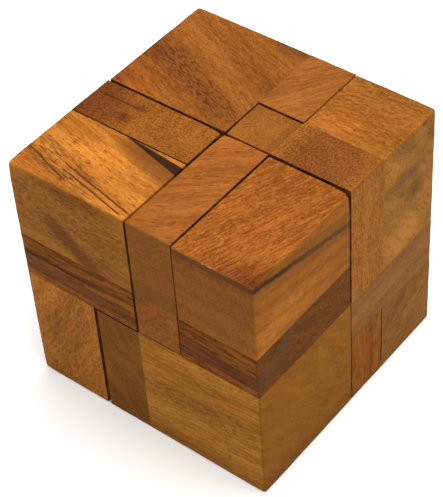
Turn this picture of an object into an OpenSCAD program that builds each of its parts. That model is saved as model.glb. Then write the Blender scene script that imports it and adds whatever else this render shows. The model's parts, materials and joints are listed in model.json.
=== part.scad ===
// Interlocking wooden cube puzzle: seven puzzle pieces, each glued up from square-cut blocks.
// Five planes cut the cube along each of x, y and z, and every block runs from one cut to another.
// Left to right is x, front to back is y, and z is up. All sizes are in millimetres.

/* [Cube] */
// Thickness of the two outer layers of the cube
thick = 23.5; // [18:0.5:32]
// Thickness of the two middle layers of the cube
thin = 14; // [10:0.5:17.5]
// How far the three inner cuts stand off centre along x, y and z
off_centre = [-0.3, 0.7, -0.5]; // [-1:0.1:1]

/* [Fit] */
// Clearance between two puzzle pieces that slide past each other
fit = 0.36; // [0.3:0.02:0.6]
// How far the loosest pieces have settled out of line
settle = 0.24; // [0:0.02:0.26]
// How much too short the low block of the hook was cut
short_cut = 0.4; // [0:0.1:1]

/* [Hidden] */
LAYERS = [0, thick, thick + thin, thick + 2 * thin, 2 * (thick + thin)];
EDGE = LAYERS[4];

// Where the five cuts are along x, y and z: the outer two are the faces of the cube
CUTS = [for (shift = off_centre) [0, LAYERS[1] + shift, LAYERS[2] + shift, LAYERS[3] + shift, EDGE]];

// The way each puzzle piece has settled, in units of settle
SETTLED = [
    ["key", [0, 0, 0]],
    ["cap", [0, -1, -1]],
    ["foot", [0, 0, 0]],
    ["hook", [-1, 0, 0]],
    ["tower", [0, 0, 0]],
    ["lid", [0, 1, 0]],
    ["anchor", [0, 0, 0]],
];

// What is missing from the high faces of a block, along x, y and z
SHORT = [["hook_low_block", [short_cut, 0, 0]]];

// Blocks: name, puzzle piece, then the cuts that it runs from and to along x, y and z
BLOCKS = [
    ["key_bar", "key", [2, 0, 3], [3, 2, 4]],
    ["key_foot", "key", [2, 0, 2], [3, 1, 3]],
    ["cap_block", "cap", [3, 0, 3], [4, 2, 4]],
    ["cap_plate", "cap", [3, 0, 2], [4, 2, 3]],
    ["cap_pin", "cap", [2, 1, 1], [3, 2, 3]],
    ["foot_block", "foot", [2, 0, 0], [4, 1, 2]],
    ["foot_cheek", "foot", [3, 1, 0], [4, 2, 2]],
    ["foot_post", "foot", [1, 0, 0], [2, 1, 2]],
    ["foot_stud", "foot", [1, 1, 1], [2, 2, 2]],
    ["foot_stud_tip", "foot", [1, 1, 2], [2, 2, 3]],
    ["hook_top_block", "hook", [0, 0, 3], [2, 1, 4]],
    ["hook_top_rail", "hook", [0, 1, 3], [2, 2, 4]],
    ["hook_front_rail", "hook", [0, 0, 2], [2, 1, 3]],
    ["hook_side_post", "hook", [0, 1, 0], [1, 2, 3]],
    ["hook_low_block", "hook", [0, 0, 0], [1, 1, 2]],
    ["hook_cross_bar", "hook", [1, 1, 0], [2, 3, 1]],
    ["tower_centre_block", "tower", [2, 2, 3], [3, 3, 4]],
    ["tower_post", "tower", [3, 2, 2], [4, 3, 4]],
    ["tower_top_block", "tower", [3, 3, 2], [4, 4, 4]],
    ["tower_plate", "tower", [2, 2, 1], [4, 4, 2]],
    ["tower_low_post", "tower", [3, 2, 0], [4, 3, 1]],
    ["tower_low_block", "tower", [2, 3, 0], [4, 4, 1]],
    ["tower_locking_bar", "tower", [2, 1, 0], [3, 3, 1]],
    ["lid_slab", "lid", [0, 2, 3], [2, 4, 4]],
    ["lid_side_rail", "lid", [0, 2, 2], [1, 4, 3]],
    ["lid_tenon", "lid", [1, 2, 2], [3, 3, 3]],
    ["lid_end_post", "lid", [2, 3, 2], [3, 4, 4]],
    ["anchor_block", "anchor", [0, 3, 0], [2, 4, 1]],
    ["anchor_side_block", "anchor", [0, 2, 0], [1, 3, 1]],
    ["anchor_plate", "anchor", [0, 2, 1], [2, 4, 2]],
    ["anchor_peg", "anchor", [1, 3, 2], [2, 4, 3]],
];

// One row of a table, by its name
function row(table, name) = [for (entry = table) if (entry[0] == name) entry][0];

// Two blocks reach over the same stretch of an axis
function level(a, b, axis) = a[3][axis] > b[2][axis] && b[3][axis] > a[2][axis];

// The high face of block a lies against the low face of block b
function meets(a, b, axis) =
    a[3][axis] == b[2][axis] && level(a, b, (axis + 1) % 3) && level(a, b, (axis + 2) % 3);

// Blocks against the high face or the low face of a block, in its own puzzle piece or in others
function above(a, axis, own) =
    [for (b = BLOCKS) if (meets(a, b, axis) && (a[1] == b[1]) == own) b];
function below(a, axis, own) =
    [for (b = BLOCKS) if (meets(b, a, axis) && (a[1] == b[1]) == own) b];

// A face that is glued to its own puzzle piece stays on the cut
function high_glued(a, axis) = len(above(a, axis, true)) > 0;
function low_glued(a, axis) = len(below(a, axis, true)) > 0;

// Two free faces share the clearance, and a free face against a glued one gives all of it
function share(glued_faces) = len(glued_faces) > 0 ? fit : fit / 2;
function high_trim(a, axis) =
    let (others = above(a, axis, false))
    high_glued(a, axis) || len(others) == 0 ? 0 : share([for (b = others) if (low_glued(b, axis)) b]);
function low_trim(a, axis) =
    let (others = below(a, axis, false))
    low_glued(a, axis) || len(others) == 0 ? 0 : share([for (b = others) if (high_glued(b, axis)) b]);

// The cube stands on z = 0 with the middle of its base at the origin, settled pieces included
function low_shift(axis) = min([for (entry = SETTLED) entry[1][axis]]) * settle;
function high_shift(axis) = max([for (entry = SETTLED) entry[1][axis]]) * settle;
function middle(axis) = (EDGE + low_shift(axis) + high_shift(axis)) / 2;
ORIGIN = [middle(0), middle(1), 0];

// A block's shortfall, which is nothing for most
function shortfall(name) =
    [for (axis = [0:2]) max([0, for (entry = SHORT) if (entry[0] == name) entry[1][axis]])];

// A square-cut block, in place in the cube
module block(name) {
    a = row(BLOCKS, name);
    low = [for (axis = [0:2]) CUTS[axis][a[2][axis]] + low_trim(a, axis)];
    high = [for (axis = [0:2]) CUTS[axis][a[3][axis]] - high_trim(a, axis)] - shortfall(name);
    translate(low + settle * row(SETTLED, a[1])[1] - ORIGIN)
        cube(high - low);
}

// Key: the small piece that comes out first, straight to the front
module key_bar() {
    color("peru") block("key_bar");
}

module key_foot() {
    color("#8a5a2e") block("key_foot");
}

// Cap: the top right corner, whose pin the key holds down
module cap_block() {
    color("#a85f24") block("cap_block");
}

module cap_plate() {
    color("#6b431f") block("cap_plate");
}

module cap_pin() {
    color("#b0783a") block("cap_pin");
}

// Foot: the bottom right corner, locked by the cap's pin
module foot_block() {
    color("#a9713a") block("foot_block");
}

module foot_cheek() {
    color("#976030") block("foot_cheek");
}

module foot_post() {
    color("#6f4a24") block("foot_post");
}

module foot_stud() {
    color("#b0783a") block("foot_stud");
}

module foot_stud_tip() {
    color("#9c6a34") block("foot_stud_tip");
}

// Hook: the left front side, whose cross bar reaches back under the anchor
module hook_top_block() {
    color("#cd9043") block("hook_top_block");
}

module hook_top_rail() {
    color("#7d5730") block("hook_top_rail");
}

module hook_front_rail() {
    color("#75451f") block("hook_front_rail");
}

module hook_side_post() {
    color("#8c5c2c") block("hook_side_post");
}

module hook_low_block() {
    color("#9f6930") block("hook_low_block");
}

module hook_cross_bar() {
    color("#b0783a") block("hook_cross_bar");
}

// Tower: the back right side, from the table to the top
module tower_centre_block() {
    color("#a3763d") block("tower_centre_block");
}

module tower_post() {
    color("#8a5527") block("tower_post");
}

module tower_top_block() {
    color("#b37c37") block("tower_top_block");
}

module tower_plate() {
    color("#8d6535") block("tower_plate");
}

module tower_low_post() {
    color("#92501f") block("tower_low_post");
}

module tower_low_block() {
    color("#8f6534") block("tower_low_block");
}

module tower_locking_bar() {
    color("#b0783a") block("tower_locking_bar");
}

// Lid: the back left of the top
module lid_slab() {
    color("#a5682f") block("lid_slab");
}

module lid_side_rail() {
    color("#8c5c2c") block("lid_side_rail");
}

module lid_tenon() {
    color("#b0783a") block("lid_tenon");
}

module lid_end_post() {
    color("#b57233") block("lid_end_post");
}

// Anchor: the back left corner that stays on the table while the others come away
module anchor_block() {
    color("#96642f") block("anchor_block");
}

module anchor_side_block() {
    color("#a9743a") block("anchor_side_block");
}

module anchor_plate() {
    color("#7f5428") block("anchor_plate");
}

module anchor_peg() {
    color("#b0783a") block("anchor_peg");
}

key_bar();
key_foot();
cap_block();
cap_plate();
cap_pin();
foot_block();
foot_cheek();
foot_post();
foot_stud();
foot_stud_tip();
hook_top_block();
hook_top_rail();
hook_front_rail();
hook_side_post();
hook_low_block();
hook_cross_bar();
tower_centre_block();
tower_post();
tower_top_block();
tower_plate();
tower_low_post();
tower_low_block();
tower_locking_bar();
lid_slab();
lid_side_rail();
lid_tenon();
lid_end_post();
anchor_block();
anchor_side_block();
anchor_plate();
anchor_peg();
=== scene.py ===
"""The looks of the interlocking wooden cube puzzle: sanded hardwood blocks on a pale studio floor.

Lengths are in millimetres where a name says so, and in metres where Blender needs them.
Places on a block are measured from its low corner: x to the right, y to the back, z up.
"""

import json
import math

import bpy
import numpy as np
from mathutils import Matrix, Vector


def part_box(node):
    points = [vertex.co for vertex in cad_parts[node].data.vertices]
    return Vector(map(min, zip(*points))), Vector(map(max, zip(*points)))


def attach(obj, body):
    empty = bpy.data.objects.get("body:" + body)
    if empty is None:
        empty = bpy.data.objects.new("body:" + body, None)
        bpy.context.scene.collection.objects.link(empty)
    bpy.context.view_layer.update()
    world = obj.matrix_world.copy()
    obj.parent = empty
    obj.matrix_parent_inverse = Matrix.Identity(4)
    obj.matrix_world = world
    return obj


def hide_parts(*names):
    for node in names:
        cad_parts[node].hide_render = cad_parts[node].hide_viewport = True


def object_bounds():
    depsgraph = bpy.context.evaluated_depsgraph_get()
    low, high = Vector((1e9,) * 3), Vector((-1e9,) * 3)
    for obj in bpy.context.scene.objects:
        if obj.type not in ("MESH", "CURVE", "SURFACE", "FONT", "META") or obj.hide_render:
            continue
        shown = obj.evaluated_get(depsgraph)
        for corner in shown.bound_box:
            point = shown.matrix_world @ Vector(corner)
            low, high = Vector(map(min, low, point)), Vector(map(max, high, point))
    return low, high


MM = 0.001

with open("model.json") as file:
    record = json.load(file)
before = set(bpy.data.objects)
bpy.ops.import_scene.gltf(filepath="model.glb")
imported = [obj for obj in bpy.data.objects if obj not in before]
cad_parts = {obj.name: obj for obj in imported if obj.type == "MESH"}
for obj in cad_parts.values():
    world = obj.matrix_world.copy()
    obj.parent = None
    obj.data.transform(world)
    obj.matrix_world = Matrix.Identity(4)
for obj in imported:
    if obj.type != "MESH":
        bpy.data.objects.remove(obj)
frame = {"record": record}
cad_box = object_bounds()
CUBE_LOW, CUBE_HIGH = (np.array(corner) / MM for corner in cad_box)


# ---------------------------------------------------------------- the blocks' shapes

# How far the sanding reaches in from a face, on the outside of the cube and in a joint
OUTER_EASE_MM = 0.42
JOINT_EASE_MM = 0.12
# The sanding was done by hand, so it varies by this share, in waves of these lengths
EASE_SPREAD = 0.35
EASE_WAVES_MM = (3.1, 5.3, 11.0)
# A block's face this close to a face of the cube is on the outside
OUTSIDE_MM = 0.5

# Mesh lines this far in from each end of a block carry its rounded edges
EDGE_LINES_MM = (0.0, 0.07, 0.15, 0.26, 0.42, 0.7, 1.2, 1.9)
# Two lines close together follow each edge of a glued mate that isn't near the block's own ends
MATE_LINES_MM = 0.06
MATE_MARGIN_MM = 0.5
# No two lines are further apart than this
FACE_LINE_MM = 3.2
# A glued mate is felt for just inside a block's edges, and just beyond its face
PROBE_INSIDE_MM = 0.3
PROBE_BEYOND_MM = 0.1

# Corners of the cube that were knocked or worn: which corner, and how round it is
WORN_CORNERS = {
    "hook_top_block": [((0, 0, 1), 1.3)],
    "cap_block": [((1, 1, 1), 1.5), ((1, 0, 1), 0.6)],
    "lid_slab": [((0, 1, 1), 0.7), ((1, 0, 1), 1.5)],
    "hook_top_rail": [((1, 1, 1), 1.2)],
    "key_bar": [((0, 1, 1), 1.1)],
    "tower_centre_block": [((0, 0, 1), 1.0)],
    "tower_top_block": [((1, 1, 1), 0.8)],
    "foot_block": [((1, 0, 0), 0.8)],
    "hook_low_block": [((0, 0, 0), 0.9)],
}
WORN_REACH_MM = 5.0

# Painted shade darkens the walls of the joints, fully down to the first depth and not at all below the
# second
JOINT_SHADE_FULL_MM, JOINT_SHADE_END_MM = 0.5, 1.9
# It reaches this far round the edge of a wall
JOINT_SHADE_EDGE_MM = 0.09
# Faces that press tight against the next piece and get no painted shade: block, axis, side
TIGHT_FACES = {
    ("lid_end_post", 0, 1), ("tower_top_block", 0, -1), ("cap_plate", 2, -1), ("foot_block", 2, 1),
    ("foot_cheek", 2, 1), ("foot_cheek", 1, 1), ("tower_plate", 1, -1), ("tower_low_post", 1, -1),
}
# The hook's top is pressed against the key bar on this stretch behind the front, down to this depth
PRESSED_FACES = {("hook_top_block", 0, 1), ("key_bar", 0, -1)}
PRESSED_FROM_MM, PRESSED_TO_MM = 0.8, 21.5
PRESSED_DEPTH_MM = 1.2

# A shorter direction counts as none, and so does a smaller part of a normal
NO_LENGTH = 1e-9
NO_SLOPE = 1e-6


def block_box(node):
    """Lowest and highest corner of a block, in mm."""
    return tuple(np.array(corner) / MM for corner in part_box(node))


def glued_beyond(points, axis, side, node, mates):
    """Which points of a block's surface have a glued mate just beyond its face on that side?"""
    low, high = block_box(node)
    probe = np.clip(points, low + PROBE_INSIDE_MM, high - PROBE_INSIDE_MM)
    probe[:, axis] = high[axis] + PROBE_BEYOND_MM if side > 0 else low[axis] - PROBE_BEYOND_MM
    covered = np.zeros(len(points), bool)
    for mate in mates:
        mate_low, mate_high = block_box(mate)
        covered |= ((probe > mate_low) & (probe < mate_high)).all(1)
    return covered


def slow_noise(points, seed):
    """A smooth wave from -1 to 1 that runs unevenly along the edges."""
    rng = np.random.default_rng(seed)
    total = np.zeros(len(points))
    for wavelength in EASE_WAVES_MM:
        direction = rng.normal(size=3)
        direction /= np.linalg.norm(direction)
        total += np.sin(points @ direction * 2 * np.pi / wavelength + rng.uniform(0, 7))
    return total / len(EASE_WAVES_MM)


def mesh_lines(low, high, stops):
    """Where the mesh lines cross one axis: close together at the ends and at each stop."""
    near = [offset for offset in EDGE_LINES_MM if offset < (high - low) / 2]
    lines = [low + offset for offset in near] + [high - offset for offset in near]
    for stop in stops:
        if low + MATE_MARGIN_MM < stop < high - MATE_MARGIN_MM:
            lines += [stop - MATE_LINES_MM, stop + MATE_LINES_MM]
    lines = sorted(lines)
    filled = []
    for a, b in zip(lines, lines[1:]):
        count = max(1, math.ceil((b - a) / FACE_LINE_MM))
        filled += [a + (b - a) * k / count for k in range(count)]
    return np.array(filled + [lines[-1]])


def square_surface(node, mates):
    """The six sides of a block before sanding: points, quads, and the axis that each quad faces."""
    low, high = block_box(node)
    stops = [sorted({corner[k] for mate in mates for corner in block_box(mate)}) for k in range(3)]
    lines = [mesh_lines(low[k], high[k], stops[k]) for k in range(3)]
    points, quads, face_axis = [], [], []
    for axis in range(3):
        b, c = (axis + 1) % 3, (axis + 2) % 3
        grid_b, grid_c = np.meshgrid(lines[b], lines[c], indexing="ij")
        for side in (-1, 1):
            patch = np.zeros(grid_b.shape + (3,))
            patch[..., b], patch[..., c] = grid_b, grid_c
            patch[..., axis] = high[axis] if side > 0 else low[axis]
            number = np.arange(grid_b.size).reshape(grid_b.shape) + sum(len(p) for p in points)
            around = [number[:-1, :-1], number[1:, :-1], number[1:, 1:], number[:-1, 1:]]
            points.append(patch.reshape(-1, 3))
            quads.append(np.stack(around[::side], -1).reshape(-1, 4))
            face_axis.append(np.full(len(quads[-1]), axis))
    return np.concatenate(points), np.concatenate(quads), np.concatenate(face_axis)


def pressed_together(points):
    """Which points lie on the stretch of the pressed faces that gets no painted shade?"""
    below_top = CUBE_HIGH[2] - points[:, 2]
    behind_front = points[:, 1] - CUBE_LOW[1]
    along = (behind_front > PRESSED_FROM_MM) & (behind_front < PRESSED_TO_MM)
    return along & (below_top < PRESSED_DEPTH_MM)


def wear_and_joint_shade(points, side_of, node, mates, seed):
    """How far each point is sanded in from each face, and how much painted shade darkens it in the joints.
    """
    low, high = block_box(node)
    ease = np.zeros_like(points)
    joint_shade = np.zeros(len(points))
    for axis in range(3):
        for side, cube_face in ((-1, CUBE_LOW), (1, CUBE_HIGH)):
            face = (high if side > 0 else low)[axis]
            outer = abs(face - cube_face[axis]) < OUTSIDE_MM
            free = (side_of[:, axis] == side) & ~glued_beyond(points, axis, side, node, mates)
            ease[free, axis] = OUTER_EASE_MM if outer else JOINT_EASE_MM
            if outer or (node, axis, side) in TIGHT_FACES:
                continue
            # painted shade on the joint walls, reaching round their sanded edges
            near = np.clip(1 - np.abs(points[:, axis] - face) / JOINT_SHADE_EDGE_MM, 0, 1)
            if (node, axis, side) in PRESSED_FACES:
                near = np.where(pressed_together(points), 0.0, near)
            joint_shade[free] = np.maximum(joint_shade, near)[free]
    inward = np.minimum(points - CUBE_LOW, CUBE_HIGH - points).min(1)
    joint_shade *= np.clip((JOINT_SHADE_END_MM - inward) / (JOINT_SHADE_END_MM - JOINT_SHADE_FULL_MM), 0, 1)
    ease *= 1 + EASE_SPREAD * slow_noise(points, seed)[:, None]
    for which, radius in WORN_CORNERS.get(node, []):
        corner = np.where(np.array(which) > 0, high, low)
        closeness = np.clip(1 - np.linalg.norm(points - corner, axis=1) / WORN_REACH_MM, 0, 1)
        ease = np.where(ease > 0, ease + (radius - OUTER_EASE_MM) * closeness[:, None] ** 2, 0)
    return ease, joint_shade


def sanded(points, node, ease):
    """The points moved in by the sanding, with their normals, which are zero away from the edges."""
    low, high = block_box(node)
    core = np.where(ease > 0, np.clip(points, low + ease, high - ease), points)
    reach = np.divide(points - core, ease, out=np.zeros_like(points), where=ease > 0)
    length = np.linalg.norm(reach, axis=1, keepdims=True)
    turned = np.divide(reach, length, out=np.zeros_like(reach), where=length > NO_LENGTH)
    moved = np.where(length > NO_LENGTH, core + ease * turned, points)
    slope = np.divide(turned, ease, out=np.zeros_like(reach), where=ease > 0)
    steep = np.linalg.norm(slope, axis=1, keepdims=True)
    return moved, np.divide(slope, steep, out=np.zeros_like(reach), where=steep > NO_LENGTH)


def sanded_block(node, mates, seed):
    """A block whose exposed edges are sanded round; an edge that runs into a glued mate stays sharp."""
    low, high = block_box(node)
    points, quads, face_axis = square_surface(node, mates)
    side_of = np.where(points > (low + high) / 2, 1, -1)
    # how far the sanding reaches, and the painted shade of the joints
    ease, joint_shade = wear_and_joint_shade(points, side_of, node, mates, seed)
    moved, normals = sanded(points, node, ease)

    # the sides share the points along their edges
    micrometres = np.round(points * 1000).astype(int)
    _, first, same = np.unique(micrometres, axis=0, return_index=True, return_inverse=True)
    mesh = bpy.data.meshes.new(node + "_wood")
    mesh.from_pydata((moved[first] * MM).tolist(), [], same.ravel()[quads].tolist())
    # the painted shade of the joints, kept on the points
    mesh.attributes.new("joint_shade", "FLOAT", "POINT").data.foreach_set("value", joint_shade[first])

    # a quad's corner is flat unless the sanding turns it
    flat = np.eye(3)[face_axis][:, None, :] * side_of[quads]
    turn = np.take_along_axis(normals[quads], face_axis[:, None, None], axis=2)
    corner_normals = np.where(np.abs(turn) > NO_SLOPE, normals[quads], flat)
    mesh.polygons.foreach_set("use_smooth", np.ones(len(mesh.polygons), bool))
    mesh.normals_split_custom_set(corner_normals.reshape(-1, 3).tolist())
    mesh.validate()
    mesh.update()
    return mesh


# ---------------------------------------------------------------- node helpers

# Sockets of the Mix node when it mixes colours
MIX_SHARE, MIX_FIRST, MIX_SECOND, MIX_RESULT = 0, 6, 7, 2


class Graph:
    """Adds nodes to a node tree in few words."""

    def __init__(self, tree):
        self.tree = tree

    def add(self, kind, inputs=(), out=0, **settings):
        """A shader node with its inputs linked or set by name or in order; gives one of its outputs."""
        node = self.tree.nodes.new("ShaderNode" + kind)
        for name, value in settings.items():
            setattr(node, name, value)
        pairs = inputs.items() if isinstance(inputs, dict) else enumerate(inputs)
        for key, value in pairs:
            if isinstance(value, bpy.types.NodeSocket):
                self.tree.links.new(value, node.inputs[key])
            else:
                node.inputs[key].default_value = value
        return node.outputs[out]

    def math(self, operation, *values, clamp=False):
        return self.add("Math", values, operation=operation, use_clamp=clamp)

    def centred(self, value):
        """A value from 0 to 1, moved to lie around 0."""
        return self.math("SUBTRACT", value, 0.5)

    def vector(self, operation, *values, out=0):
        return self.add("VectorMath", values, operation=operation, out=out)

    def scaled(self, vector, factors):
        return self.vector("MULTIPLY", vector, factors)

    def in_units(self, vector, sizes):
        """The vector counted in sizes, one for each axis, so that a noise on it has that grain."""
        return self.scaled(vector, tuple(1 / size for size in sizes))

    def resized(self, vector, factor):
        return self.add("VectorMath", {"Vector": vector, "Scale": factor}, operation="SCALE")

    def noise(self, vector, detail=2.0, roughness=0.5):
        return self.add(
            "TexNoise", {"Vector": vector, "Scale": 1.0, "Detail": detail, "Roughness": roughness}
        )

    def noise_vector(self, vector):
        return self.add("TexNoise", {"Vector": vector, "Scale": 1.0, "Detail": 1.0}, out="Color")

    def ramp(self, value, low, high, to_low=0.0, to_high=1.0):
        """A smooth step from to_low to to_high between two values."""
        limits = {"From Min": low, "From Max": high, "To Min": to_low, "To Max": to_high}
        return self.add("MapRange", {"Value": value, **limits}, interpolation_type="SMOOTHSTEP")

    def blend(self, share, first, second, kind="MIX"):
        """Two colours mixed, the second one by its share."""
        values = {MIX_SHARE: share, MIX_FIRST: first, MIX_SECOND: second}
        for key in (MIX_FIRST, MIX_SECOND):
            if isinstance(values[key], tuple):
                values[key] = (*values[key], 1.0)
        return self.add("Mix", values, out=MIX_RESULT, data_type="RGBA", blend_type=kind)


# ---------------------------------------------------------------- wood

# A block's look sets these by their names in lower case; without it they keep the value given here
GROUP_INPUTS = [
    ("Place", "Vector", None),
    ("End", "Float", 0.0),
    ("Light", "Color", None),
    ("Dark", "Color", None),
    ("Bands", "Float", 0.4),
    ("Lines", "Float", 0.3),
    ("Streaks", "Float", 0.35),
    ("Fine", "Float", 0.4),
    ("Speckle", "Float", 0.2),
    ("Curl", "Float", 0.15),
    ("Flecks", "Float", 0.2),
    ("Fleck Length", "Float", 3.0),
    ("Fleck Width", "Float", 0.5),
    ("Fleck Depth", "Float", 0.65),
]
GROUP_OUTPUTS = [("Color", "Color"), ("Roughness", "Float"), ("Height", "Float")]

# Patterns of the grain: size of the spots in mm (along the grain, across it and through the layers),
# detail and roughness of the noise, and the noise values that become 0 and 1
PATTERNS = {
    "bands": ((90, 14, 5), 3.0, 0.6, 0.3, 0.7),
    "wide": ((30, 12, 12), 1.0, 0.5, 0.32, 0.68),
    "lines": ((40, 8, 0.9), 2.0, 0.6, 0.3, 0.7),
    "streaks": ((9, 0.9, 1.1), 2.0, 0.6, 0.32, 0.68),
    "fine": ((3.2, 0.36, 0.36), 1.0, 0.5, 0.3, 0.7),
    "speckle": ((0.8, 0.55, 0.55), 1.0, 0.5, 0.38, 0.62),
}
# The fibres wander this far across the grain, in long waves and in short curls
WANDER_MM = (0.0, 4.0, 4.0)
WAVE_SIZE_MM = (34, 13, 13)
CURL_SIZE_MM = (2.8, 2.2, 2.2)
# Share of the wide pattern in the tone, which is the same for all woods
WIDE_TONE = 0.25
# Share of the fibres that end grain doesn't show
END_LOSS = 0.7

# Open pores: their colour, where in its cell a pore ends and is darkest, and how they crowd together
PORE = (0.05, 0.016, 0.005)
PORE_RIM, PORE_CORE = 0.45, 0.15
PORE_CROWDING = 0.5
PORE_FADE = 0.3

BASE_ROUGHNESS, PORE_ROUGHNESS, STREAK_ROUGHNESS = 0.45, 0.25, 0.16
FINE_HEIGHT, STREAK_HEIGHT, PORE_HEIGHT = 0.3, 0.25, 0.35


def wandering(g, given):
    """The place in the wood, moved across the grain as the fibres wander."""
    waves, curls = (
        g.vector("SUBTRACT", g.noise_vector(g.in_units(given["Place"], size)), (0.5, 0.5, 0.5))
        for size in (WAVE_SIZE_MM, CURL_SIZE_MM)
    )
    curls = g.resized(g.scaled(curls, WANDER_MM), given["Curl"])
    wander = g.vector("ADD", g.scaled(waves, WANDER_MM), curls)
    return g.vector("ADD", given["Place"], wander)


def open_pores(g, given, place, wide):
    """Pores from 0 to 1: dashes along the grain, dots on end grain, more of them in some places."""
    across = g.math("DIVIDE", 1.0, given["Fleck Width"])
    spread = g.add("CombineXYZ", [g.math("DIVIDE", 1.0, given["Fleck Length"]), across, across])
    cells = g.tree.nodes.new("ShaderNodeTexVoronoi")
    cells.inputs["Scale"].default_value = 1.0
    g.tree.links.new(g.vector("MULTIPLY", place, spread), cells.inputs["Vector"])
    chance = g.add("SeparateColor", [cells.outputs["Color"]])
    crowd = g.math("MULTIPLY_ADD", g.centred(wide), PORE_CROWDING, given["Flecks"])
    kept = g.ramp(g.math("SUBTRACT", crowd, chance), 0.0, PORE_FADE)
    return g.math("MULTIPLY", g.ramp(cells.outputs["Distance"], PORE_RIM, PORE_CORE), kept)


def wood_tone(g, given, pattern):
    """Lightness from 0 to 1. End grain shows the layers but hardly any fibres."""
    side_grain = g.math("MULTIPLY_ADD", given["End"], -END_LOSS, 1.0)
    tone = g.math("MULTIPLY", g.centred(pattern["streaks"]), given["Streaks"])
    tone = g.math("MULTIPLY_ADD", g.centred(pattern["fine"]), given["Fine"], tone)
    tone = g.math("MULTIPLY", tone, side_grain)
    for name in ("bands", "lines", "speckle"):
        tone = g.math("MULTIPLY_ADD", g.centred(pattern[name]), given[name.capitalize()], tone)
    tone = g.math("MULTIPLY_ADD", g.centred(pattern["wide"]), WIDE_TONE, tone)
    return g.math("ADD", tone, 0.5, clamp=True)


def grain_group():
    """Wood as a solid texture. Place is in mm: x along the grain, z through the growth layers."""
    tree = bpy.data.node_groups.new("wood_grain", "ShaderNodeTree")
    for name, kind, value in GROUP_INPUTS:
        socket = tree.interface.new_socket(name, in_out="INPUT", socket_type="NodeSocket" + kind)
        if value is not None:
            socket.default_value = value
    for name, kind in GROUP_OUTPUTS:
        tree.interface.new_socket(name, in_out="OUTPUT", socket_type="NodeSocket" + kind)
    g = Graph(tree)
    given = tree.nodes.new("NodeGroupInput").outputs

    place = wandering(g, given)
    pattern = {
        name: g.ramp(g.noise(g.in_units(place, size), detail, roughness), low, high)
        for name, (size, detail, roughness, low, high) in PATTERNS.items()
    }
    pores = open_pores(g, given, place, pattern["wide"])
    color = g.blend(wood_tone(g, given, pattern), given["Dark"], given["Light"])
    color = g.blend(g.math("MULTIPLY", pores, given["Fleck Depth"]), color, PORE)

    rough = g.math("MULTIPLY_ADD", pores, PORE_ROUGHNESS, BASE_ROUGHNESS)
    dull = g.math("SUBTRACT", 0.5, pattern["streaks"])
    rough = g.math("MULTIPLY_ADD", dull, STREAK_ROUGHNESS, rough)
    height = g.math("MULTIPLY", pattern["streaks"], STREAK_HEIGHT)
    height = g.math("MULTIPLY_ADD", pattern["fine"], FINE_HEIGHT, height)
    height = g.math("SUBTRACT", height, g.math("MULTIPLY", pores, PORE_HEIGHT))

    result = tree.nodes.new("NodeGroupOutput").inputs
    for name, socket in (("Color", color), ("Roughness", rough), ("Height", height)):
        tree.links.new(socket, result[name])
    return tree


def grain_frame(along, layers):
    """Right-handed frame of a block's wood: along the grain, across it, and through the layers."""
    along = Vector(along).normalized()
    across = Vector(layers).cross(along).normalized()
    return along, across, along.cross(across)


# Detail and roughness of the noise that makes the rim of a mark ragged
RAGGED = (3.0, 0.6)
# Noise values where a broken mark shows nothing and everything
DASH_GAP, DASH_FULL = 0.48, 0.62


def mark_mask(g, spot, place, entry, seed):
    """Where a mark shows on a block, from 0 to its strength."""
    ragged = g.vector("ADD", g.scaled(spot, (entry["jag"],) * 3), (seed, seed, 0))
    shift = g.math("MULTIPLY", g.centred(g.noise(ragged, *RAGGED)), 2 * entry["wobble"])
    masks = []
    for normal in entry["normals"]:
        offset = g.vector("SUBTRACT", spot, entry["at"])
        depth = g.vector("DOT_PRODUCT", offset, tuple(Vector(normal).normalized()), out="Value")
        depth = g.math("ADD", depth, shift)
        if len(entry["normals"]) == 1:
            far = g.math("ABSOLUTE", depth)
            masks.append(g.ramp(far, entry["half"] + entry["soft"], entry["half"]))
        else:
            masks.append(g.ramp(depth, 0.0, entry["soft"]))
    if entry["reach"]:
        offset = g.vector("SUBTRACT", spot, entry["centre"])
        distance = g.vector("LENGTH", g.in_units(offset, entry["reach"]), out="Value")
        distance = g.math("MULTIPLY_ADD", shift, 1 / max(entry["reach"]), distance)
        masks.append(g.ramp(distance, 1.0, entry["inner"]))
    if entry["dashes"]:
        length, width = entry["dashes"]
        broken = g.noise(g.in_units(place, (length, width, width)), 1.0)
        masks.append(g.ramp(broken, DASH_GAP, DASH_FULL))
    mask = masks[0]
    for other in masks[1:]:
        mask = g.math("MULTIPLY", mask, other)
    return g.math("MULTIPLY", mask, entry["strength"])


# Each block is cut this much further along the solid texture than the one before it
CUT_STEP_MM = (37.0, 19.0, 11.0)
# and the rim of each of its marks is shifted by this much from the last one's
MARK_SEED_STEP = 3.7
# How squarely a face has to cut the grain to begin to be end grain, and to be nothing else
END_FROM, END_FULL = 0.6, 0.95
# Painted shade in the joints lies in patches: their size, the noise values between them and in them, and
# how well they cover
JOINT_SHADE_PATCH_MM = (4, 4, 4)
JOINT_SHADE_NOISE = (0.3, 0.6)
THIN_JOINT_SHADE, THICK_JOINT_SHADE = 0.5, 0.9
BUMP_STRENGTH = 0.6
BUMP_DEPTH_MM = 0.12
# Oiled wood without a coat of varnish hardly shines
SPECULAR_LEVEL = 0.011


def cut_from(tree, group, look, place, end):
    """The wood of one block: the shared texture with the block's own colours and patterns."""
    grain = tree.nodes.new("ShaderNodeGroup")
    grain.node_tree = group
    tree.links.new(place, grain.inputs["Place"])
    tree.links.new(end, grain.inputs["End"])
    grain.inputs["Light"].default_value = (*look["light"], 1.0)
    grain.inputs["Dark"].default_value = (*look["dark"], 1.0)
    for name, _, _ in GROUP_INPUTS:
        value = look.get(name.lower().replace(" ", "_"))
        if isinstance(value, (int, float)):
            grain.inputs[name].default_value = value
    return grain.outputs


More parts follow.
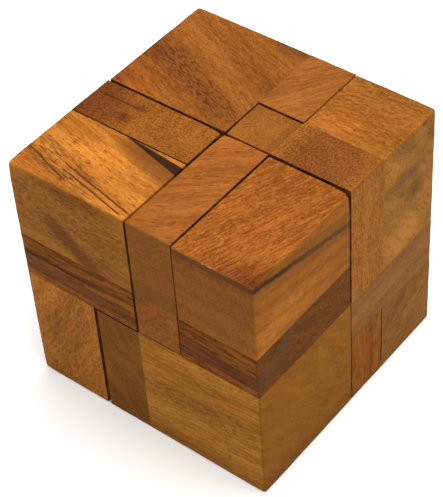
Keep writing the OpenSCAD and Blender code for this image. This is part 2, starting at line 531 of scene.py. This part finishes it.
def wood_material(node, look, group, seed):
    """The block's own material: its grain direction and colours, its marks, and painted shade in the
    joints.
    """
    material = bpy.data.materials.new(node + "_finish")
    material.use_nodes = True
    tree = material.node_tree
    g = Graph(tree)
    shader = tree.nodes["Principled BSDF"]
    coordinates = tree.nodes.new("ShaderNodeTexCoord").outputs
    low, _ = block_box(node)
    spot = g.vector("SUBTRACT", g.resized(coordinates["Object"], 1 / MM), tuple(low))

    wood_axes = grain_frame(look["grain"], look["layers"])
    cut_at = tuple(step * seed for step in CUT_STEP_MM)
    turn = Matrix(wood_axes).to_euler()
    place = g.add("Mapping", {"Vector": spot, "Rotation": turn, "Location": cut_at})
    end = g.vector("DOT_PRODUCT", coordinates["Normal"], tuple(wood_axes[0]), out="Value")
    end = g.ramp(g.math("ABSOLUTE", end), END_FROM, END_FULL)
    grain = cut_from(tree, group, look, place, end)

    color = grain["Color"]
    for number, entry in enumerate(look.get("marks", [])):
        mask = mark_mask(g, spot, place, entry, seed + MARK_SEED_STEP * number)
        color = g.blend(mask, color, entry["color"], entry["kind"])
    # painted shade in the joints, near black and in patches
    joint_shade = g.add("Attribute", out="Fac", attribute_name="joint_shade")
    patchy = g.noise(g.in_units(spot, JOINT_SHADE_PATCH_MM))
    patchy = g.ramp(patchy, *JOINT_SHADE_NOISE, THIN_JOINT_SHADE, THICK_JOINT_SHADE)
    color = g.blend(g.math("MULTIPLY", joint_shade, patchy), color, JOINT_SHADE)
    relief = {"Strength": BUMP_STRENGTH, "Distance": BUMP_DEPTH_MM * MM}
    bump = g.add("Bump", {"Height": grain["Height"], **relief})
    tree.links.new(color, shader.inputs["Base Color"])
    tree.links.new(grain["Roughness"], shader.inputs["Roughness"])
    tree.links.new(bump, shader.inputs["Normal"])
    shader.inputs["Specular IOR Level"].default_value = SPECULAR_LEVEL
    return material


# ---------------------------------------------------------------- the blocks' looks

LEFT_RIGHT, FRONT_BACK, UP_DOWN = (1, 0, 0), (0, 1, 0), (0, 0, 1)
# Height of the blocks of the top layer, and of those of the upper two layers
TOP, TALL_TOP = 24, 38
# Where the right side is on the blocks of the right layer, and on a block two layers wide
RIGHT, WIDE_RIGHT = 23.8, 37.8
# Just under the right side
UNDER_RIGHT = 23.6

# Light and dark tone of each kind of wood
HONEY = {"light": (0.41, 0.15, 0.023), "dark": (0.225, 0.068, 0.009)}
AMBER = {"light": (0.33, 0.122, 0.014), "dark": (0.17, 0.056, 0.006)}
GOLD = {"light": (0.27, 0.099, 0.015), "dark": (0.13, 0.042, 0.006)}
ORANGE = {"light": (0.28, 0.088, 0.015), "dark": (0.16, 0.046, 0.008)}
RUST = {"light": (0.3, 0.092, 0.012), "dark": (0.14, 0.036, 0.005)}
BROWN = {"light": (0.245, 0.08, 0.0135), "dark": (0.12, 0.037, 0.006)}
DARK = {"light": (0.22, 0.066, 0.009), "dark": (0.08, 0.021, 0.004)}
OLIVE = {"light": (0.245, 0.094, 0.015), "dark": (0.13, 0.048, 0.007)}
UMBER = {"light": (0.18, 0.068, 0.01), "dark": (0.1, 0.035, 0.005)}
PALE = {"light": (0.26, 0.09, 0.012), "dark": (0.14, 0.046, 0.006)}

# Colours of the marks, mixed over the wood
PURPLE = (0.08, 0.026, 0.012)
VEIN = (0.036, 0.013, 0.006)
FLECK = (0.075, 0.022, 0.006)
INK = (0.02, 0.009, 0.005)
# painted shade of the open joints
JOINT_SHADE = (0.012, 0.004, 0.002)
GREY = (0.085, 0.045, 0.02)
SHADE = (0.11, 0.035, 0.007)
MOSS = (0.14, 0.056, 0.01)
GILT = (0.27, 0.096, 0.006)
UMBRA = (0.08, 0.028, 0.001)
SAND = (0.21, 0.072, 0.007)
CHIP = (0.5, 0.28, 0.13)
# Stains and tints that multiply the wood under them
PLUM_STAIN = (0.56, 0.46, 0.75)
BROWN_STAIN = (0.55, 0.45, 0.4)
GREY_STAIN = (0.5, 0.5, 0.6)
PALE_STAIN = (1.38, 1.41, 1.3)
WARM_STAIN = (1.1, 0.9, 0.9)
OLIVE_STAIN = (0.7, 0.76, 0.6)
RIPPLE_STAIN = (0.8, 0.76, 0.75)
PEACH_STAIN = (1.42, 1.32, 1.25)
ROSE_STAIN = (1.06, 0.96, 1.0)
FRESH_TINT = (1.18, 1.33, 1.25)
LIME_TINT = (1.08, 1.12, 1.0)
# The next two are painted corrections for light on the right side of the foot: mostly they take out the
# blue that the floor's reflection adds there
TOFFEE_TINT = (0.96, 0.9, 0.45)
CARAMEL_TINT = (0.99, 1.02, 0.55)
# A mark this thick covers a whole block
OVERALL_MM = 500


def mark(color, strength, at=(0, 0, 0), normals=(), half=0.3, soft=1.0, centre=None, reach=None,
         inner=0.4, dashes=None, wobble=0.6, jag=0.35, kind="MIX"):
    """A mark in the wood, in mm from the block's low corner.

    One normal makes a vein, the sheet through "at": full up to half away from it, and fading over
    soft. Two make a wedge that opens from there. reach keeps the mark inside an ellipsoid round
    centre, full within the share inner of it, and dashes (length and width) break it up along the
    grain. The rim wanders by wobble, in bays that are finer the higher jag is.
    """
    return {
        "color": color, "strength": strength, "at": at, "normals": normals, "half": half,
        "soft": soft, "centre": centre or at, "reach": reach, "inner": inner, "dashes": dashes,
        "wobble": wobble, "jag": jag, "kind": kind,
    }


def stain(color, centre, reach, strength=1.0, inner=0.1, **others):
    """A soft discoloured patch."""
    return mark(color, strength, centre, reach=reach, inner=inner, kind="MULTIPLY", **others)


def open_joint_shade(at, normal, reach):
    """Painted shade of a thin open joint between two glued blocks: a dark, slightly ragged line."""
    return mark(
        JOINT_SHADE, 1.0, at, [normal], half=0.35, soft=0.16, reach=reach, inner=0.85, wobble=0.24, jag=1.6
    )


def thin_line(start, end, strength, height):
    """A thin dark line on top of a block, from one (x, y) to another."""
    run, rise = end[0] - start[0], end[1] - start[1]
    middle = ((start[0] + end[0]) / 2, (start[1] + end[1]) / 2, height)
    reach = (math.hypot(run, rise) / 2 + 1,) * 3
    return mark(
        PORE, strength, middle, [(-rise, run, 0)], half=0.12, soft=0.22,
        reach=reach, inner=0.8, wobble=0.22, jag=0.5,
    )


def face_tint(color, strength, normal, at=(0, 0, 0), kind="MIX"):
    """A tint over one face only, the one at "at"."""
    return mark(color, strength, at, [normal], half=0.4, soft=0.2, wobble=0.0, kind=kind)


def overall(color):
    """A change of the whole block's tone: its colour is multiplied by this one."""
    return mark(color, 1.0, normals=[UP_DOWN], half=OVERALL_MM, kind="MULTIPLY")


# The looks of each seen block: its wood, which way its grain and its growth layers run, how strongly
# each pattern shows, and its marks, each laid over the ones before it
LOOKS = {
    "key_bar": dict(
        ORANGE, grain=(1, 0.78, 0.15), layers=(-0.5, 0.6, 0.5), bands=0.35, streaks=0.3, flecks=0.4,
        fleck_length=3.2, fleck_width=0.65, fleck_depth=0.6,
        marks=[
            mark(SHADE, 0.4, (0, 0, 2.6), [UP_DOWN], 2.4, 1.6, reach=(40, 6, 20)),
            face_tint(MOSS, 0.55, FRONT_BACK),
        ],
    ),
    "key_foot": dict(BROWN, grain=(1, 0.78, 0.15), layers=(-0.5, 0.6, 0.5), flecks=0.15),
    "cap_block": dict(
        RUST, grain=(0.34, 1, 0), layers=(0.9, -0.3, 0.5), bands=0.15, lines=0.35, streaks=0.15, fine=0.5,
        curl=0.3, speckle=0.4, flecks=0.1, fleck_length=2.2,
        marks=[
            overall((1.04, 1.05, 1.25)),
            stain(RIPPLE_STAIN, (12, 26, TOP), (40, 36, 3), inner=0.8, dashes=(3.6, 0.45)),
            face_tint(GILT, 0.5, LEFT_RIGHT, (RIGHT, 0, 0)),
            mark(
                OLIVE_STAIN, 0.8, (12, 0, 24.6), [(0, 0.2, 0.98)], 1.2, 0.8,
                centre=(RIGHT, 19, 20), reach=(2.5, 40, 12), inner=0.9, kind="MULTIPLY",
            ),
            mark(SHADE, 0.55, (8, 36, TOP), reach=(20, 12, 3), inner=0.2, dashes=(3.0, 0.7)),
            stain(PLUM_STAIN, (22, 1, TOP), (15, 9, 3), 0.9, wobble=1.0),
            *[
                mark(
                    SHADE, 0.34, (RIGHT, 0, height), [(0, 0.17, 0.98)], 0.2, width,
                    centre=(RIGHT, 26, 11), reach=(2.5, 40, 20), inner=0.4, wobble=1.3,
                )
                for height, width in ((19.0, 1.2), (14.5, 2.2), (9.0, 1.0), (3.0, 1.8))
            ],
            *[
                mark(
                    SHADE, 0.3, (12, 0, height), [(0.1, 0, 1)], 0.3, 1.8,
                    centre=(12, 0, 12), reach=(40, 2.5, 30), inner=0.9, wobble=1.0,
                )
                for height in (17.0, 11.0, 4.0)
            ],
            mark(VEIN, 0.7, (12, 0, 22.9), [(0, 0.22, 0.98)], 0.3, 1.0),
            mark(
                INK, 0.75, (RIGHT, 0, 22.8), [(0, 0.21, 0.98)], 0.2, 0.7,
                centre=(RIGHT, 5, 22), reach=(3, 20, 6),
            ),
            mark(PURPLE, 0.3, (12, 0, 21.6), [(0, 0.2, 0.98)], 0.4, 1.8),
            stain(PALE_STAIN, (UNDER_RIGHT, 12, 6), (4, 28, 12), 0.7, wobble=2.0),
            stain(BROWN_STAIN, (UNDER_RIGHT, 14, 8), (4, 30, 12), 0.35, wobble=2.0, dashes=(16, 1.4)),
            mark(CHIP, 0.75, (10, 0, TOP), reach=(7, 0.45, 0.35), inner=0.6, dashes=(1.2, 0.6)),
            face_tint(MOSS, 0.42, FRONT_BACK),
        ],
    ),
    "cap_plate": dict(
        DARK, grain=LEFT_RIGHT, layers=(0, 0.5, 0.85), lines=0.6, streaks=0.6, flecks=0.65, fleck_length=7,
        fleck_width=0.75, fleck_depth=0.85,
        marks=[
            face_tint(UMBRA, 0.6, LEFT_RIGHT, (RIGHT, 0, 0)),
            mark(GREY, 0.5, (RIGHT, 7.5, 8.4), [(0, -0.5, 0.86)], 0.7, 1.9, reach=(8, 14, 12)),
            mark(PURPLE, 0.6, (12, 0, 5.5), [UP_DOWN], 1.2, 1.6, reach=(22, 5, 12)),
        ],
    ),
    "foot_block": dict(
        AMBER, grain=(1, 0.1, 0.05), layers=(0.1, 0.6, 0.8), bands=0.3, flecks=0.3, fleck_length=1.8,
        fleck_width=0.45,
        marks=[
            overall((1.08, 1.18, 1.35)),
            mark(FLECK, 0.55, (18, 0, 19), [(-0.1, 0, 1)], 2.0, 5.0, reach=(24, 6, 20), dashes=(2.0, 0.45)),
            mark(SHADE, 0.25, (18, 0, 20), [(-0.1, 0, 1)], 1.5, 3.0, reach=(30, 6, 20)),
            # painted shade: the block darker towards its bottom
            mark(SHADE, 0.35, (18, 0, 0), [UP_DOWN], 1.0, 9.0),
            face_tint(SHADE, 0.42, LEFT_RIGHT, (WIDE_RIGHT, 0, 0)),
            # painted correction for light: less blue on the right side, to offset the floor's reflection
            face_tint(TOFFEE_TINT, 1.0, LEFT_RIGHT, (WIDE_RIGHT, 0, 0), "MULTIPLY"),
        ],
    ),
    "foot_cheek": dict(
        AMBER, grain=(1, 0.1, 0.05), layers=(0.1, 0.6, 0.8), flecks=0.2, fleck_length=2,
        marks=[
            # painted shade: the block darker towards its bottom
            mark(SHADE, 0.35, (18, 0, 0), [UP_DOWN], 1.0, 9.0),
            face_tint(SHADE, 0.3, LEFT_RIGHT, (RIGHT, 0, 0)),
            # painted correction for light: less blue on the right side, to offset the floor's reflection
            face_tint(CARAMEL_TINT, 1.0, LEFT_RIGHT, (RIGHT, 0, 0), "MULTIPLY"),
        ],
    ),
    "foot_post": dict(UMBER, grain=(0.3, 1, 0.2), layers=(0.8, 0, 0.6), bands=0.5, flecks=0.15),
    "hook_top_block": dict(
        HONEY, grain=(1, -0.2, -0.04), layers=(0.15, 0.75, 0.65), bands=0.6, lines=0.4, streaks=0.3,
        fine=0.4, flecks=0.45, fleck_length=2.8, fleck_width=0.38, fleck_depth=0.85,
        marks=[
            mark(SHADE, 0.75, (30, 19.3, TOP), [(0.24, 0.97, 0)], 1.5, 3.4, reach=(17, 12, 8)),
            stain(PALE_STAIN, (18, 15, TOP), (19, 7, 3), 0.9),
            mark(
                INK, 0.97, (15, 24.4, TOP), [(-0.09, -1, 0), (0.235, 1, 0)], soft=0.25,
                centre=(37, 22, TOP), reach=(30, 30, 12), wobble=0.2, jag=0.8,
            ),
            mark(
                VEIN, 0.7, (15, 24.4, TOP), [(-0.09, -1, 0), (0.235, 1, 0)], soft=0.25,
                centre=(37, 22, TOP), reach=(30, 30, 12), wobble=0.2, jag=0.8, dashes=(5, 0.6),
            ),
            thin_line((0, 8.0), (16, 3.0), 1.0, TOP),
            thin_line((13, 7.6), (37, 2.6), 0.95, TOP),
            thin_line((15, 5.6), (35, 1.2), 0.95, TOP),
            mark(SHADE, 0.3, (11, 6, TOP), [(0.24, 0.97, 0)], 3.0, 2.5, reach=(24, 12, 6), dashes=(4, 0.5)),
            mark(SHADE, 0.45, (7, 5.4, TOP), [(0.3, 0.95, 0)], 0.6, 1.2, reach=(12, 7, 4)),
            mark(FLECK, 0.85, (9, 7, TOP), [(0.24, 0.97, 0)], 2.0, 4.0, reach=(22, 12, 6), dashes=(3, 0.3)),
            face_tint(MOSS, 0.5, FRONT_BACK),
            mark(SHADE, 0.85, (18.7, 0, 5.2), [(0.62, 0, 0.78)], 1.2, 2.8, reach=(18, 3, 12)),
            mark(FLECK, 0.6, (18, 0, 13), reach=(24, 3, 13), inner=0.7, dashes=(3.5, 0.3)),
            stain(BROWN_STAIN, (20, 0, 22), (18, 1.2, 5), 0.6, wobble=1.5),
            # painted shade of an open joint along the top
            open_joint_shade((18, 24.2, TOP), FRONT_BACK, (22, 2, 3)),
            face_tint(LIME_TINT, 1.0, FRONT_BACK, kind="MULTIPLY"),
        ],
    ),
    "hook_top_rail": dict(
        PALE, grain=(0.15, 0.2, 1), layers=(1, 0.15, 0), fine=0.6, speckle=0.75, flecks=0.25,
        marks=[
            overall((0.9, 0.87, 0.9)),
            stain(PLUM_STAIN, (-5, 7, TOP), (24, 26, 24), inner=0.3, wobble=1.8),
            mark(INK, 0.55, (8, 9.2, TOP), [FRONT_BACK], 0.12, 0.4, reach=(9, 4, 4), wobble=0.4),
            stain(PLUM_STAIN, (12.7, 4.5, TOP), (3.5, 2.5, 3)),
            stain(PLUM_STAIN, (14, 10, TOP), (4, 2, 3), 0.6),
        ],
    ),
    "hook_front_rail": dict(
        DARK, grain=LEFT_RIGHT, layers=(0.03, 0.5, 0.85), bands=0.5, lines=0.6, streaks=0.45, flecks=0.35,
        fleck_length=8, fleck_width=0.6,
        marks=[
            overall((1.05, 1.13, 0.9)),
            mark(PURPLE, 0.6, (12, 0, 4.4), [UP_DOWN], 1.2, 1.4, reach=(30, 6, 12)),
            mark(INK, 0.8, (8, 0, 8.2), [(0.03, 0, 1)], 0.2, 0.4, reach=(20, 6, 12), wobble=0.4),
        ],
    ),
    "hook_low_block": dict(
        AMBER, grain=(0.35, 0.3, 1), layers=(0.6, 0.6, -0.3), speckle=0.35, flecks=0.5, fleck_length=2.2,
        fleck_width=0.7, fleck_depth=0.5,
        marks=[
            overall((1.07, 1.07, 1.45)),
            stain(BROWN_STAIN, (6, 0, 20), (8, 5, 9), 0.35, wobble=2.0),
        ],
    ),
    "tower_centre_block": dict(
        PALE, grain=(0.1, 0.3, 1), layers=(1, 0, 0), bands=0.3, lines=0.2, speckle=0.45, flecks=0.1,
        marks=[overall((0.88, 0.88, 1.05)), mark(SHADE, 0.35, (12.8, 7, TOP), [LEFT_RIGHT], 1.2, 0.3)],
    ),
    "tower_post": dict(
        AMBER, grain=UP_DOWN, layers=(0.3, 1, 0), lines=0.3, streaks=0.5, fine=0.6, speckle=0.9, flecks=0.4,
        marks=[
            overall((1.03, 1.05, 1.25)),
            stain(PLUM_STAIN, (12.5, 5, TALL_TOP), (17, 26, 2.5), 0.95, inner=0.35, wobble=1.2),
            face_tint(SHADE, 0.2, UP_DOWN, (0, 0, TALL_TOP)),
            face_tint(SAND, 0.35, LEFT_RIGHT, (RIGHT, 0, 0)),
        ],
    ),
    "tower_top_block": dict(
        GOLD, grain=(1, 0.12, -0.2), layers=(0.2, 0.7, 0.7), bands=0.45, lines=0.3, streaks=0.3, fine=0.5,
        curl=0.35, speckle=0.3, flecks=0.1,
        marks=[
            face_tint(FRESH_TINT, 1.0, LEFT_RIGHT, (RIGHT, 0, 0), "MULTIPLY"),
            stain(PEACH_STAIN, (6, 5, TALL_TOP), (13, 6, 6), 0.6, wobble=1.5),
            stain(PALE_STAIN, (UNDER_RIGHT, 3, 27), (6, 5, 10), 0.5, wobble=1.5),
            stain(GREY_STAIN, (UNDER_RIGHT, 21, 31), (6, 5, 4), 0.5, wobble=1.0),
            mark(
                SHADE, 0.3, (17, 13, TALL_TOP),
                reach=(10, 12, 4), inner=0.2, dashes=(2.0, 0.6), wobble=1.5,
            ),
            stain(WARM_STAIN, (18, 10, TALL_TOP), (10, 12, 4), 0.4),
            stain(ROSE_STAIN, (6, 8, TALL_TOP), (16, 16, 4)),
            stain(GREY_STAIN, (UNDER_RIGHT, 14, 18), (7, 5.5, 5), wobble=1.5),
            mark(GREY, 0.45, (UNDER_RIGHT, 9, 25), [UP_DOWN], 0.5, 2.2, reach=(8, 13, 9)),
            stain(PALE_STAIN, (UNDER_RIGHT, 10, 5), (6, 12, 8), 0.8),
            mark(INK, 0.6, (UNDER_RIGHT, 17.8, 36.8), reach=(3, 2.2, 0.9), inner=0.2),
        ],
    ),
    "tower_plate": dict(
        OLIVE, grain=(0.2, 1, 0.1), layers=(0, 0.1, 1), lines=0.2, streaks=0.12, fine=0.25, flecks=0.1,
        marks=[overall((1.04, 1.11, 1.35))],
    ),
    "tower_low_post": dict(
        RUST, grain=UP_DOWN, layers=(0.3, 1, 0), lines=0.4, streaks=0.5, flecks=0.15,
        marks=[
            face_tint(SHADE, 0.3, LEFT_RIGHT, (RIGHT, 0, 0)),
            overall((1.0, 1.0, 0.3)),
            # painted shade of an open joint on the right side
            open_joint_shade((RIGHT, 13.8, 23), FRONT_BACK, (10, 4, 22)),
        ],
    ),
    "tower_low_block": dict(
        OLIVE, grain=(0.2, 0.77, 0.64), layers=(0.3, -0.6, 0.7), lines=0.3, flecks=0.1,
        marks=[mark(SHADE, 0.5, (37.6, 6.7, 18), [(0, -0.64, 0.77)], 0.5, 1.8, reach=(10, 14, 14))],
    ),
    "lid_slab": dict(
        BROWN, grain=(1, -0.4, 0), layers=(0.2, 0.5, 0.85), bands=0.4, streaks=0.25, fine=0.5, speckle=0.3,
        flecks=0.4, fleck_length=1.5, fleck_width=0.45, fleck_depth=0.45,
        marks=[
            mark(SHADE, 0.5, (18, 12, TOP), [(0.42, 0.91, 0)], 1.5, 5.0, reach=(26, 26, 12)),
            mark(
                FLECK, 1.0, (18, 12, TOP), [(0.42, 0.91, 0)], 1.8, 4.0,
                reach=(26, 26, 12), dashes=(1.9, 0.6),
            ),
            stain(PLUM_STAIN, (2, 16, TOP), (7, 5, 3), 0.6),
            stain(PLUM_STAIN, (0, 2, TOP), (8, 6, 3), 0.6, wobble=1.2),
            stain(WARM_STAIN, (8, 4, TOP), (14, 10, 3), 0.8),
            mark(PURPLE, 0.55, (34, 36.6, TOP), reach=(12, 4.5, 12)),
        ],
    ),
    "lid_end_post": dict(
        ORANGE, grain=(0.8, 1, 0.2), layers=(-0.6, 0.5, 0.5), lines=0.4, flecks=0.15,
        marks=[overall((0.91, 0.96, 1.02))],
    ),
}
# The woods of the other blocks, which are inside or at the back, in turn
HIDDEN_WOODS = (PALE, BROWN, AMBER, ORANGE, RUST)
# Their growth layers lean by this much, plus a little so that they are never quite square
LAYER_LEAN = 0.5
NEVER_SQUARE = 0.01


def look_of(node, seed):
    """A block's look from the table, or else a plain wood with its grain along the block."""
    if node in LOOKS:
        return LOOKS[node]
    low, high = block_box(node)
    shortest, _, longest = np.eye(3)[np.argsort(high - low)]
    wood = HIDDEN_WOODS[seed % len(HIDDEN_WOODS)]
    layers = tuple(shortest + LAYER_LEAN * longest + NEVER_SQUARE)
    return dict(wood, grain=tuple(longest), layers=layers, flecks=0.3)


# ---------------------------------------------------------------- light, floor and camera

# The camera looks at the middle of the cube from here: degrees round from the front, degrees up, and
# degrees of tilt
AZIMUTH, ELEVATION, ROLL = math.radians(41.04), math.radians(44.54), math.radians(-4.51)
DISTANCE = 0.445
# It stands this far right and up of that line, in metres
PAN = (-0.0024, -0.0012)
SENSOR_MM = 36
FOCAL_LENGTH_MM = 123.762
NEAREST_VISIBLE = 0.01

WORLD_COLOR = (1.0, 0.99, 0.97)
WORLD_STRENGTH = 0.34
# Each light: name, place in metres, width in metres, and watts
LIGHTS = [("overhead", (0.12, 0.06, 0.75), 1.1, 13.2), ("side_fill", (0.2, -0.7, 0.4), 0.5, 1.1)]
LIGHTS_AIM = (0, 0, 0.03)

# The floor lies a hair below the cube, so that the two never share a surface
FLOOR_HALF_WIDTH = 3.0
FLOOR_GAP_MM = 0.02
FLOOR_COLOR = (0.81, 0.81, 0.8)
FLOOR_ROUGHNESS = 0.9
FLOOR_SPECULAR_LEVEL = 0.1


def place_camera():
    """The camera looks down on the front right corner of the cube."""
    _, high = cad_box
    aim = Vector((0, 0, high.z / 2))
    flat = Vector((math.sin(AZIMUTH), -math.cos(AZIMUTH), 0))
    back = flat * math.cos(ELEVATION) + Vector((0, 0, math.sin(ELEVATION)))
    level = Vector((math.cos(AZIMUTH), math.sin(AZIMUTH), 0))
    upright = back.cross(level)
    right = level * math.cos(ROLL) + upright * math.sin(ROLL)
    up = back.cross(right)
    camera = bpy.data.objects.new("camera", bpy.data.cameras.new("camera"))
    bpy.context.scene.collection.objects.link(camera)
    turned = Matrix((right, up, back)).transposed().to_4x4()
    turned.translation = aim + back * DISTANCE + right * PAN[0] + up * PAN[1]
    camera.matrix_world = turned
    camera.data.sensor_width = SENSOR_MM
    camera.data.lens = FOCAL_LENGTH_MM
    camera.data.clip_start = NEAREST_VISIBLE
    bpy.context.scene.camera = camera


def softbox(name, place, width, watts):
    """A round, soft light that shines on the cube."""
    light = bpy.data.lights.new(name, "AREA")
    light.shape = "DISK"
    light.size = width
    light.energy = watts
    lamp = bpy.data.objects.new(name, light)
    bpy.context.scene.collection.objects.link(lamp)
    lamp.location = place
    lamp.rotation_euler = (Vector(place) - Vector(LIGHTS_AIM)).to_track_quat("Z", "Y").to_euler()


def light_studio():
    """An even pale surround and the two soft lights, with colours shown as they are."""
    scene = bpy.context.scene
    scene.view_settings.view_transform = "Standard"
    world = bpy.data.worlds.new("studio")
    world.use_nodes = True
    background = world.node_tree.nodes["Background"].inputs
    background["Color"].default_value = (*WORLD_COLOR, 1)
    background["Strength"].default_value = WORLD_STRENGTH
    scene.world = world
    for entry in LIGHTS:
        softbox(*entry)


def lay_floor():
    """A wide sheet of pale paper under the cube."""
    half = FLOOR_HALF_WIDTH
    corners = [(-half, -half, 0), (half, -half, 0), (half, half, 0), (-half, half, 0)]
    mesh = bpy.data.meshes.new("floor")
    mesh.from_pydata(corners, [], [(0, 1, 2, 3)])
    floor = bpy.data.objects.new("floor", mesh)
    floor.location.z = -FLOOR_GAP_MM * MM
    bpy.context.scene.collection.objects.link(floor)
    material = bpy.data.materials.new("floor_paper")
    material.use_nodes = True
    shader = material.node_tree.nodes["Principled BSDF"].inputs
    shader["Base Color"].default_value = (*FLOOR_COLOR, 1)
    shader["Roughness"].default_value = FLOOR_ROUGHNESS
    shader["Specular IOR Level"].default_value = FLOOR_SPECULAR_LEVEL
    mesh.materials.append(material)


# ---------------------------------------------------------------- putting it together


def build_blocks():
    """Puts a sanded wooden block in the place of each CAD block, on the same body."""
    group = grain_group()
    seed = 0
    for body, nodes in frame["record"]["behaviour"]["bodies"].items():
        for node in nodes:
            seed += 1
            mates = [other for other in nodes if other != node]
            mesh = sanded_block(node, mates, seed)
            mesh.materials.append(wood_material(node, look_of(node, seed), group, seed))
            piece = bpy.data.objects.new(node + "_wood", mesh)
            bpy.context.scene.collection.objects.link(piece)
            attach(piece, body)
            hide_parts(node)


place_camera()
light_studio()
lay_floor()
build_blocks()
